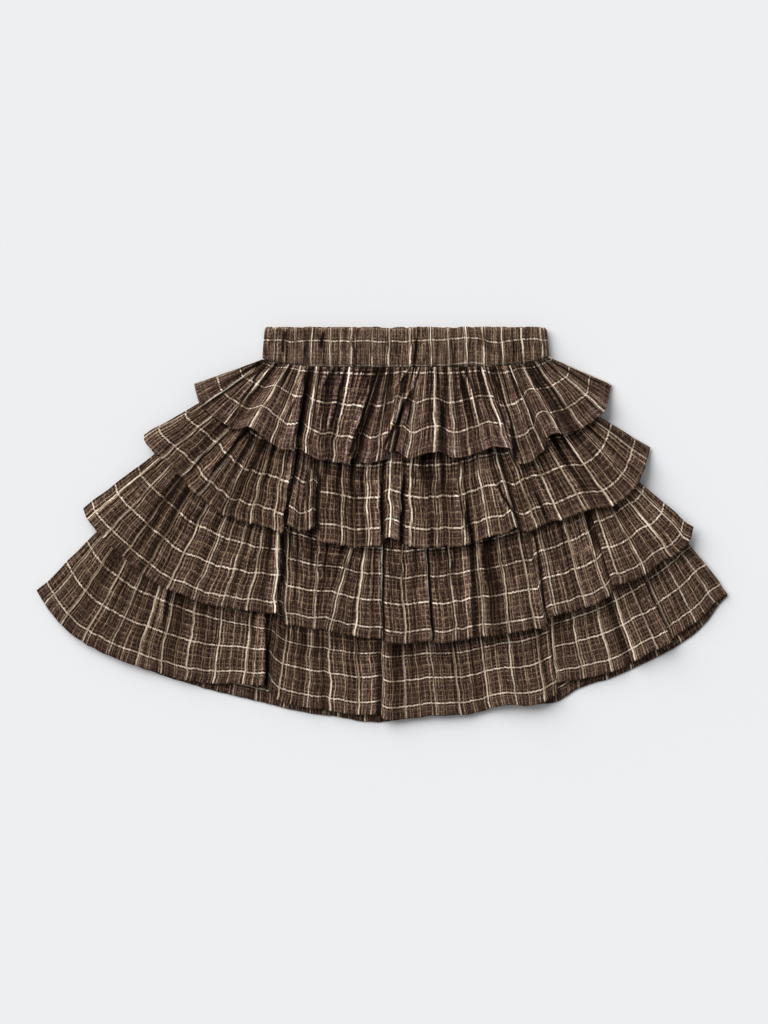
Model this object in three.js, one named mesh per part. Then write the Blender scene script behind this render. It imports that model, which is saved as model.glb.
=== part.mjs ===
// A child's tiered ruffle skirt in crinkled cotton, laid flat with its front up.
// Millimetres, +X across the skirt, +Y towards the waistband, +Z up from the surface it lies on.
// Tables give places on the skirt: x from the middle, down from the top of the waistband.
import * as THREE from "three";

// Driving dimensions
const clothWall = 1; // every layer of cloth
const seamGap = 0.3; // between two pieces that touch
const seamEase = 0.05; // more at a ruffle's seam, where walls tilt towards each other
const bandHeight = 26; // at the sides
const bandDip = 6; // how much deeper the waistband is in the middle
const bandLeft = -96;
const bandRight = 132.5;
const bandThickness = 8; // both walls and the slot between them
const bandWall = 3; // two layers of cloth with the elastic between them
const bandTaper = 2; // the top edge is narrower than the seam by this at each side
const bandRipple = 0.5; // height of the elastic's gathers
const rippleSpacing = 14;
const rippleDrift = 2; // radians by which the gathers stray from even spacing
const rippleTurns = 7; // radians of that drift from one end to the other
const seamLap = 5; // the underskirt runs this far below the last ruffle's seam
const foldOnset = 0.55; // power by which a fold rises from the seam to the hem
const rowsDown = 6; // rings of the mesh from seam to hem
const stepsPerFold = 2; // columns of the mesh between two fold lines

// Where each ruffle is sewn to the underskirt: both ends and the middle of the seam
const seamColumns = ["left", "leftDown", "right", "rightDown", "middleDown", "roundness"];
const seams = table(seamColumns, [
  [bandLeft, bandHeight, bandRight, bandHeight - 2, bandHeight + bandDip, 6],
  [-122.5, 46.5, 151, 59, 90.5, 2.2],
  [-162.5, 86.5, 181.5, 104, 162.5, 2.2],
  [-210.5, 145, 231, 156, 236, 2.2],
]);

// Each row is one fold line of a ruffle, from left to right along the cloth. It leaves the seam at
// x = seam, meets the hem at x = hem and down, and stands up by rise there. Where hem turns back,
// the cloth laps under the fold before it.
const foldColumns = ["seam", "hem", "down", "rise"];
const frontFolds = [
  table(foldColumns, [
    [-96, -150.5, 45, 0],
    [-95, -146, 61, 1.5],
    [-93.5, -142.5, 65.5, 0.3],
    [-91, -137, 70.5, 2.6],
    [-85, -121.5, 81, 1.6],
    [-81.5, -117.5, 81.5, 2],
    [-77.5, -109.5, 80, 6.5],
    [-73.5, -101.5, 84, 8.5],
    [-67, -92, 92, 6],
    [-62.5, -79, 98.5, 6.6],
    [-60, -69.5, 97.5, 5.5],
    [-58.5, -73, 94.5, 1.6],
    [-57, -67, 94.5, 0.3],
    [-55, -64, 100, 3.4],
    [-48, -55, 105, 3.8],
    [-33, -44, 107, 1.8],
    [-17, -34.5, 109, 3.4],
    [-5, -27, 109, 5],
    [-3, -28.5, 106, 1.6],
    [-0.5, -23, 106, 0.4],
    [4, -10.5, 109, 2.8],
    [9, 4.5, 105.5, 0.5],
    [17, 2, 99, 7],
    [20, 5, 101, 6.4],
    [21.5, 9, 98.5, 1],
    [25, 12, 101, 4],
    [30.5, 21, 106.5, 4.2],
    [38.5, 36, 101, 6],
    [42.5, 44, 100.5, 5.6],
    [45.5, 49, 102.5, 1.2],
    [51, 56, 104, 4.6],
    [59, 68, 103.5, 4.2],
    [65, 76, 101, 3.4],
    [69.5, 84, 97, 7],
    [76, 94.5, 96, 7.4],
    [81, 101.5, 98.5, 6.6],
    [83, 103, 105, 0.8],
    [87, 108, 109.5, 2.8],
    [97, 119, 106.5, 3],
    [101.5, 128, 97.5, 1.4],
    [105, 130.5, 89, 7.6],
    [109, 138.5, 85, 9],
    [113, 145.5, 86.5, 7],
    [117, 150.5, 84, 2.4],
    [121, 157, 81.5, 4],
    [125.5, 166.5, 75, 2.6],
    [129.5, 177, 67, 1.6],
    [131, 179, 60, 0.8],
    [132.5, 183, 45.5, 0],
  ]),
  table(foldColumns, [
    [-122.5, -191, 86.5, 0],
    [-121, -190.5, 92, 0.8],
    [-118.5, -183, 100, 1.6],
    [-110.5, -170.5, 111, 2.2],
    [-100, -157.5, 123, 1],
    [-97.5, -153, 129.5, 4.5],
    [-94.5, -142.5, 138.5, 3],
    [-91, -129, 149.5, 4.6],
    [-88, -121, 153, 2],
    [-85, -109.5, 156, 4],
    [-79, -97, 159, 2.8],
    [-73, -85.5, 163, 4.6],
    [-68, -81, 165, 5.5],
    [-67, -82, 162, 1.4],
    [-65, -76, 159, 0.3],
    [-62.5, -76.5, 157.5, 7],
    [-59, -69.5, 163, 8.5],
    [-54.5, -57.5, 161.5, 7],
    [-53, -59, 159, 1.5],
    [-50.5, -54.5, 162.5, 0.4],
    [-47, -52, 171, 2.8],
    [-36, -39, 173.5, 3.4],
    [-25, -26.5, 176, 2.4],
    [-13, -13, 175, 3.2],
    [-3.5, -3.5, 174.5, 4.2],
    [0, -0.5, 171, 1.4],
    [4.5, 2.5, 168, 4.6],
    [12, 10.5, 171, 5.5],
    [18.5, 15, 173.5, 1],
    [21, 18.5, 175, 3],
    [28, 26.5, 176, 3.4],
    [35, 36, 177.5, 4],
    [37, 37.5, 176.5, 2.6],
    [50.5, 53.5, 175.5, 3.2],
    [61, 66.5, 174.5, 4.2],
    [64, 70.5, 173.5, 1.2],
    [68, 77.5, 171, 3.6],
    [74.5, 89.5, 167, 6],
    [79, 97, 165.5, 7],
    [84, 105, 161, 5.6],
    [87, 109.5, 162.5, 2],
    [90.5, 116, 164, 3],
    [96, 126.5, 159, 4.5],
    [99, 132, 157, 1.4],
    [102.5, 137, 155, 3.6],
    [109.5, 145.5, 153, 3.2],
    [119, 165.5, 145.5, 2.6],
    [125.5, 172, 145, 1.6],
    [129.5, 181, 143.5, 3.4],
    [136, 193.5, 136, 2.8],
    [142.5, 202.5, 126.5, 2.2],
    [147, 208, 114.5, 1.2],
    [151, 213.5, 97, 0],
  ]),
  table(foldColumns, [
    [-162.5, -240, 145.5, 0],
    [-160, -236, 154.5, 0.8],
    [-154.5, -223, 169, 1.6],
    [-148, -207, 183, 1.2],
    [-140, -190.5, 197.5, 2.6],
    [-131, -176, 207, 1.6],
    [-121.5, -161.5, 213, 3],
    [-112, -145, 220, 1.8],
    [-100, -125, 224, 3.2],
    [-89.5, -105.5, 227, 2.6],
    [-82, -84, 228, 6],
    [-80, -85.2, 227, 1.8],
    [-77.5, -80.5, 229.5, 0.4],
    [-75, -77, 237.5, 1.2],
    [-65, -66.5, 239, 1.8],
    [-49, -55, 241.5, 1.2],
    [-27.5, -45, 241, 0.4],
    [-25.5, -48.5, 240.5, 6],
    [-21.5, -42.5, 242.5, 4.4],
    [-17, -33, 245.5, 3],
    [-10.5, -19, 247.5, 3.8],
    [-2.5, -2.5, 249, 3.4],
    [0, 0, 250, 0.8],
    [2.5, 3, 252, 3.2],
    [11, 13.5, 253, 3.4],
    [22.5, 26.5, 252, 2.4],
    [32, 37.5, 251, 4.2],
    [34.5, 40, 250.5, 0.8],
    [37, 43, 252, 3.6],
    [51, 58.5, 251, 3.2],
    [63, 69, 249.5, 1.6],
    [69.5, 76, 248, 3.6],
    [82.5, 93.5, 247, 3],
    [91, 103, 245, 2],
    [98.5, 113, 243, 3.8],
    [104, 120, 242, 1.8],
    [110.5, 129, 240.5, 3.4],
    [113.5, 131, 235, 1],
    [117.5, 135, 232, 2.8],
    [130.5, 151, 227, 2.4],
    [142.5, 166.5, 222.5, 2.2],
    [152, 178.5, 216, 1.2],
    [157, 184, 209.5, 0.3],
    [158.5, 183, 207, 6],
    [161.5, 191, 205, 5],
    [165.5, 205.5, 200, 3.4],
    [170.5, 222.5, 189, 2.8],
    [175, 235, 181.5, 2.2],
    [178.5, 243, 173.5, 1.4],
    [181.5, 247, 160, 0],
  ]),
  table(foldColumns, [
    [-210.5, -276, 211, 0],
    [-207, -267, 225, 0.8],
    [-201.5, -257, 237.5, 1.6],
    [-193, -243, 249.5, 2.4],
    [-182.5, -223, 261, 1.8],
    [-172, -202.5, 269.5, 2.8],
    [-161.5, -180, 277, 1.4],
    [-147, -161, 281.5, 2.6],
    [-131, -143, 284.5, 2],
    [-111, -121, 285, 3],
    [-89.5, -95, 286, 6],
    [-87.5, -96.2, 284.5, 1.8],
    [-85, -92.5, 288, 0.4],
    [-81.5, -90, 293, 1],
    [-73.5, -83, 298.5, 1.8],
    [-64, -71, 302, 2.4],
    [-51, -53, 305.5, 3],
    [-47, -46.5, 305.5, 0.8],
    [-43, -41.5, 307, 2.6],
    [-25, -22.5, 309.5, 2.6],
    [-7, -5.5, 309.5, 3.6],
    [-1.5, -1.5, 309, 0.5],
    [1, 1, 313.5, 4],
    [9.5, 11, 314.5, 3.2],
    [25, 30.5, 311.5, 2.4],
    [41, 49, 310.5, 2.8],
    [55, 65, 310, 2.4],
    [68, 78.5, 307.5, 1],
    [79, 89, 304, 2.8],
    [90.5, 100, 302, 5.2],
    [101.5, 113, 303, 4.8],
    [115, 126.5, 300.5, 4.8],
    [125, 135, 295.5, 4],
    [129, 138.5, 293.5, 3.4],
    [131, 137, 286.5, 0.6],
    [135, 143, 283.5, 1.6],
    [144, 156, 282, 2.2],
    [157.5, 173.5, 278, 2.4],
    [169, 188, 273.5, 2.2],
    [175, 197, 269, 0.8],
    [178.5, 201, 267, 4.2],
    [186.5, 213.5, 260, 5.2],
    [197.5, 230.5, 252, 6],
    [199.5, 228.5, 251, 1.8],
    [201.5, 231.5, 249.5, 0.4],
    [207, 237.5, 245, 1.4],
    [215, 250.5, 236, 2.2],
    [221.5, 260, 227, 1.6],
    [227, 268, 219, 0.8],
    [231, 276, 214, 0],
  ]),
];

// The back half of each ruffle lies flat under the front half and needs only its outline.
const backFolds = [
  table(foldColumns, [
    [-96, -150, 46, 0],
    [-90, -140, 67, 0],
    [-70, -105, 84, 0],
    [-40, -55, 100, 0],
    [0, -10, 104, 0],
    [40, 40, 102, 0],
    [75, 92, 98, 0],
    [105, 140, 88, 0],
    [125, 170, 70, 0],
    [132.5, 182, 46.5, 0],
  ]),
  table(foldColumns, [
    [-122.5, -190, 87.5, 0],
    [-112, -178, 103, 0],
    [-85, -135, 142, 0],
    [-50, -75, 160, 0],
    [0, -5, 170, 0],
    [50, 55, 171, 0],
    [90, 115, 158, 0],
    [125, 172, 140, 0],
    [145, 205, 118, 0],
    [151, 212.5, 98, 0],
  ]),
  table(foldColumns, [
    [-162.5, -239, 146.5, 0],
    [-150, -220, 170, 0],
    [-115, -160, 211, 0],
    [-60, -75, 235, 0],
    [0, 0, 247, 0],
    [60, 75, 244, 0],
    [115, 145, 226, 0],
    [150, 200, 198, 0],
    [172, 236, 178, 0],
    [181.5, 246, 161, 0],
  ]),
  table(foldColumns, [
    [-210.5, -275, 212, 0],
    [-197, -246, 246.5, 0],
    [-170, -203, 268.5, 0],
    [-130, -144, 288.5, 0],
    [-95, -98.5, 299.5, 0],
    [-65, -66.5, 307.5, 0],
    [-40, -41.5, 311, 0],
    [-5, -5.5, 316, 0],
    [20, 21, 313.5, 0],
    [45, 49, 309, 0],
    [80, 89, 301, 0],
    [103, 113, 301, 0],
    [116, 127, 301.5, 0],
    [130, 141.5, 298.5, 0],
    [144, 156, 289.5, 0],
    [165, 182.5, 280.5, 0],
    [185, 207, 269.5, 0],
    [205, 231, 257.5, 0],
    [220, 253.5, 241, 0],
    [228, 267, 224, 0],
    [231, 275, 215, 0],
  ]),
];

function table(columns, rows) {
  return rows.map((row) => Object.fromEntries(columns.map((name, i) => [name, row[i]])));
}

// How far down a seam lies at x, a flattened arc between its ends
function seamDown(seam, x) {
  const middle = (seam.left + seam.right) / 2;
  const t = THREE.MathUtils.clamp((x - middle) / (seam.right - middle), -1, 1);
  const ends = THREE.MathUtils.lerp(seam.leftDown, seam.rightDown, (t + 1) / 2);
  return ends + (seam.middleDown - ends) * (1 - Math.abs(t) ** seam.roundness);
}

// A height map of all that has been laid down so far, so that each next piece rests on it
const cell = 2;
const mapHalf = 300;
const mapSide = (2 * mapHalf) / cell + 1;
const spread = 6; // cells by which a layer's height is spread, so that no edge pokes through the next
const softness = 3; // cells over which that height is then averaged
const laid = new Float32Array(mapSide * mapSide).fill(-seamGap);
let support = laid;

function mapIndex(column, row) {
  const c = THREE.MathUtils.clamp(column, 0, mapSide - 1);
  const r = THREE.MathUtils.clamp(row, 0, mapSide - 1);
  return r * mapSide + c;
}

function layDown(geometry) {
  const position = geometry.getAttribute("position");
  const corner = [0, 1, 2].map(() => new THREE.Vector3());
  const index = geometry.getIndex().array;
  for (let i = 0; i < index.length; i += 3) {
    corner.forEach((point, k) => point.fromBufferAttribute(position, index[i + k]));
    const [a, b, c] = corner;
    const steps = Math.ceil(Math.max(a.distanceTo(b), b.distanceTo(c), c.distanceTo(a)) / cell) + 1;
    for (let j = 0; j <= steps; j++)
      for (let k = 0; k <= steps - j; k++) {
        const wa = j / steps;
        const wb = k / steps;
        const wc = 1 - wa - wb;
        const column = Math.round((a.x * wa + b.x * wb + c.x * wc + mapHalf) / cell);
        const row = Math.round((a.y * wa + b.y * wb + c.y * wc + 2 * mapHalf) / cell);
        const at = mapIndex(column, row);
        laid[at] = Math.max(laid[at], a.z * wa + b.z * wb + c.z * wc);
      }
  }
  support = soften(highestNearby(laid));
}

function overNeighbours(map, reach, combine) {
  const pass = (source, dc, dr) =>
    source.map((_, i) => {
      const values = [];
      for (let k = -reach; k <= reach; k++)
        values.push(source[mapIndex((i % mapSide) + k * dc, Math.floor(i / mapSide) + k * dr)]);
      return combine(values);
    });
  return pass(pass(map, 1, 0), 0, 1);
}

function highestNearby(map) {
  return overNeighbours(map, spread, (values) => Math.max(...values));
}

function soften(map) {
  return overNeighbours(map, softness, (values) => values.reduce((a, b) => a + b) / values.length);
}

function supportAt(x, y) {
  const column = (x + mapHalf) / cell;
  const row = (y + 2 * mapHalf) / cell;
  const c = Math.floor(column);
  const r = Math.floor(row);
  const near = THREE.MathUtils.lerp(support[mapIndex(c, r)], support[mapIndex(c + 1, r)], column - c);
  const far = THREE.MathUtils.lerp(support[mapIndex(c, r + 1)], support[mapIndex(c + 1, r + 1)], column - c);
  return THREE.MathUtils.lerp(near, far, row - r);
}

// A closed wall round a grid of points of its middle surface: columns[i][j] runs seam to hem
function clothWallAround(columns) {
  const across = columns.length;
  const down = columns[0].length;
  const at = (i, j) => columns[Math.min(Math.max(i, 0), across - 1)][Math.min(Math.max(j, 0), down - 1)];
  const points = [];
  for (const side of [1, -1])
    for (let i = 0; i < across; i++)
      for (let j = 0; j < down; j++) {
        const along = at(i + 1, j).clone().sub(at(i - 1, j));
        const drop = at(i, j + 1).clone().sub(at(i, j - 1));
        const normal = drop.cross(along).normalize();
        const point = at(i, j).clone().addScaledVector(normal, (side * clothWall) / 2);
        points.push(point.setZ(Math.max(point.z, 0)));
      }
  const top = (i, j) => i * down + j;
  const under = (i, j) => across * down + i * down + j;
  const faces = [];
  const quad = (a, b, c, d) => faces.push(a, b, c, a, c, d);
  for (let i = 0; i + 1 < across; i++)
    for (let j = 0; j + 1 < down; j++) {
      quad(top(i, j), top(i, j + 1), top(i + 1, j + 1), top(i + 1, j));
      quad(under(i, j), under(i + 1, j), under(i + 1, j + 1), under(i, j + 1));
    }
  for (let i = 0; i + 1 < across; i++) {
    quad(top(i, 0), top(i + 1, 0), under(i + 1, 0), under(i, 0));
    quad(top(i + 1, down - 1), top(i, down - 1), under(i, down - 1), under(i + 1, down - 1));
  }
  for (let j = 0; j + 1 < down; j++) {
    quad(top(0, j + 1), top(0, j), under(0, j), under(0, j + 1));
    quad(top(across - 1, j), top(across - 1, j + 1), under(across - 1, j + 1), under(across - 1, j));
  }
  return new THREE.BufferGeometry().setFromPoints(points).setIndex(faces);
}

// Rests a point of a cloth's middle surface on what lies below it, raised by its fold
function rested(x, down, rise) {
  return new THREE.Vector3(x, -down, supportAt(x, -down) + seamGap + clothWall / 2 + rise);
}

function ruffle(seam, folds) {
  const start = seamGap + seamEase;
  const rings = [];
  for (let j = 0; j < rowsDown; j++) {
    const v = j / (rowsDown - 1);
    const line = folds.map((fold) => {
      const seamY = seamDown(seam, fold.seam) + start;
      const x = THREE.MathUtils.lerp(fold.seam, fold.hem, v);
      const down = THREE.MathUtils.lerp(seamY, fold.down, v);
      return new THREE.Vector3(x, down, fold.rise * v ** foldOnset);
    });
    const curve = new THREE.CatmullRomCurve3(line, false, "centripetal");
    const steps = (folds.length - 1) * stepsPerFold;
    rings.push(curve.getPoints(steps).map((p) => rested(p.x, p.y, Math.max(p.z, 0))));
  }
  const columns = rings[0].map((_, i) => rings.map((ring) => ring[i]));
  return clothWallAround(columns);
}

// The plain underskirt that the ruffles are sewn to, from the waistband to the last ruffle's seam
function underskirt() {
  const across = 16;
  const betweenSeams = 2;
  const level = Math.max(...laid) + seamGap + clothWall / 2;
  const columns = [];
  for (let i = 0; i <= across; i++) {
    const t = i / across;
    const line = seams.map((seam, k) => {
      const x = THREE.MathUtils.lerp(seam.left, seam.right, t);
      const lap = k === 0 ? 2 * seamGap : k === seams.length - 1 ? seamLap : 0;
      return new THREE.Vector2(x, seamDown(seam, x) + lap);
    });
    const column = [];
    for (let k = 0; k + 1 < line.length; k++)
      for (let s = 0; s < betweenSeams; s++) {
        const p = line[k].clone().lerp(line[k + 1], s / betweenSeams);
        column.push(new THREE.Vector3(p.x, -p.y, level));
      }
    column.push(new THREE.Vector3(line.at(-1).x, -line.at(-1).y, level));
    columns.push(column);
  }
  return clothWallAround(columns);
}

// The waistband is a ring pressed flat: its lower wall is plain, its upper one shows the gathers
function waistband() {
  const end = bandThickness / 2;
  const left = bandLeft + end;
  const right = bandRight - end;
  const ripples = Math.round((bandRight - bandLeft) / rippleSpacing);
  const topSteps = ripples * 3;
  const endSteps = 4;
  const underSteps = 12;
  const ring = [];
  const put = (x, z, nx, nz) => ring.push({ x, z, nx, nz });
  const roundEnd = (centre, start) => {
    for (let i = 0; i < endSteps; i++) {
      const turn = start + (i / endSteps) * Math.PI;
      put(centre + end * Math.cos(turn), end + end * Math.sin(turn), Math.cos(turn), Math.sin(turn));
    }
  };
  for (let i = 0; i < topSteps; i++) {
    const t = i / topSteps;
    const phase = t * ripples * 2 * Math.PI + rippleDrift * Math.sin(rippleTurns * t);
    const wave = i > 0 ? Math.sin(phase) * bandRipple : 0;
    put(THREE.MathUtils.lerp(right, left, t), bandThickness + wave, 0, 1);
  }
  roundEnd(left, Math.PI / 2);
  for (let i = 0; i < underSteps; i++) put(THREE.MathUtils.lerp(left, right, i / underSteps), 0, 0, -1);
  roundEnd(right, -Math.PI / 2);
  const middle = (bandLeft + bandRight) / 2;
  const half = (bandRight - bandLeft) / 2;
  const points = [];
  const rows = 3;
  for (const inward of [0, bandWall])
    for (let j = 0; j < rows; j++)
      for (const p of ring) {
        const v = j / (rows - 1);
        const x = p.x - p.nx * inward;
        const narrow = 1 - (bandTaper / half) * (1 - v);
        const z = inward ? (p.nx || p.nz < 0 ? p.z : bandThickness) - p.nz * inward : p.z;
        const down = seamDown(seams[0], x) * v;
        points.push(new THREE.Vector3(middle + (x - middle) * narrow, -down, z));
      }
  const n = ring.length;
  const outer = (i, j) => j * n + (i % n);
  const inner = (i, j) => rows * n + j * n + (i % n);
  const faces = [];
  const quad = (a, b, c, d) => faces.push(a, b, c, a, c, d);
  for (let i = 0; i < n; i++) {
    for (let j = 0; j + 1 < rows; j++) {
      quad(outer(i, j), outer(i + 1, j), outer(i + 1, j + 1), outer(i, j + 1));
      quad(inner(i, j), inner(i, j + 1), inner(i + 1, j + 1), inner(i + 1, j));
    }
    quad(outer(i + 1, 0), outer(i, 0), inner(i, 0), inner(i + 1, 0));
    quad(outer(i, rows - 1), outer(i + 1, rows - 1), inner(i + 1, rows - 1), inner(i, rows - 1));
  }
  return new THREE.BufferGeometry().setFromPoints(points).setIndex(faces);
}

const skirt = new THREE.Group();
const cloth = new THREE.MeshStandardMaterial({ color: 0x4b3e36, roughness: 0.95, metalness: 0 });

function add(name, geometry) {
  const mesh = new THREE.Mesh(geometry, cloth.clone());
  mesh.name = name;
  skirt.add(mesh);
}

// Pieces are laid down from the surface up: the back ruffles, the underskirt, the front ruffles
const layers = [
  ...seams.map((seam, k) => ["tier" + (k + 1) + "_back", () => ruffle(seam, backFolds[k])]),
  ["base_back", underskirt],
  ["base_front", underskirt],
  ...seams.map((seam, k) => ["tier" + (k + 1) + "_front", () => ruffle(seam, frontFolds[k])]).reverse(),
];
for (const [name, make] of layers) {
  const geometry = make();
  layDown(geometry);
  add(name, geometry);
}
add("waistband", waistband());

// The origin is under the middle of the whole skirt
const box = new THREE.Box3().setFromObject(skirt);
const centre = box.getCenter(new THREE.Vector3());
skirt.position.set(-centre.x, -centre.y, -box.min.z);

export default skirt;
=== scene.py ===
import math

import bpy
import numpy as np
from bpy.props import FloatProperty, FloatVectorProperty, IntProperty, PointerProperty
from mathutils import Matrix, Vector


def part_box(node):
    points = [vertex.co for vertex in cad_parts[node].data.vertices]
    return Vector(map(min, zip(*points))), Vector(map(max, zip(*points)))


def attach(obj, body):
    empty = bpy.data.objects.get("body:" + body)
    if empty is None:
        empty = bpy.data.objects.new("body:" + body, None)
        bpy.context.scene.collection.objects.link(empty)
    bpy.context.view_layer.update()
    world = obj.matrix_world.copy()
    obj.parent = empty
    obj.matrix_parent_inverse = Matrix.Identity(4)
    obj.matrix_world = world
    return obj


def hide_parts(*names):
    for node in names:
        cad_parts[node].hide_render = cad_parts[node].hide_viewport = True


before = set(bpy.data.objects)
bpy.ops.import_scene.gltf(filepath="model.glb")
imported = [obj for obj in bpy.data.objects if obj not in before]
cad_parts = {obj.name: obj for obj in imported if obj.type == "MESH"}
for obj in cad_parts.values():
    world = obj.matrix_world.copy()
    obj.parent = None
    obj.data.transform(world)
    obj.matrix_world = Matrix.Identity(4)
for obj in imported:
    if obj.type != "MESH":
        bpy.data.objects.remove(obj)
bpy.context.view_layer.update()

bl_info = {
    "name": "Tiered ruffle skirt",
    "version": (1, 0, 0),
    "blender": (4, 5, 0),
    "location": "View3D > Sidebar > Skirt",
    "description": "Sews a tiered ruffle skirt in checked crinkle cotton and lays it flat",
    "category": "Add Mesh",
}

# Lengths are in millimetres until a mesh is written. Places on the skirt are x from its middle and
# down from the top of the waistband, as its pattern is drawn.
MM = 0.001
CLOTH_WALL = 1.0
SEAM_GAP = 0.3
SEAM_EASE = 0.05
BAND_LEFT = -96.0
BAND_RIGHT = 132.5
BAND_HEIGHT = 26.0
BAND_DIP = 6.0
BAND_THICKNESS = 8.0
BAND_WALL = 3.0
BAND_TAPER = 2.0
SEAM_LAP = 5.0
FOLD_ONSET = 0.55

# Where each ruffle is sewn on: left, left_down, right, right_down, middle_down, roundness
SEAMS = [
    (BAND_LEFT, BAND_HEIGHT, BAND_RIGHT, BAND_HEIGHT - 2, BAND_HEIGHT + BAND_DIP, 6),
    (-122.5, 46.5, 151, 59, 90.5, 2.2),
    (-162.5, 86.5, 181.5, 104, 162.5, 2.2),
    (-210.5, 145, 231, 156, 236, 2.2),
]

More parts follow.
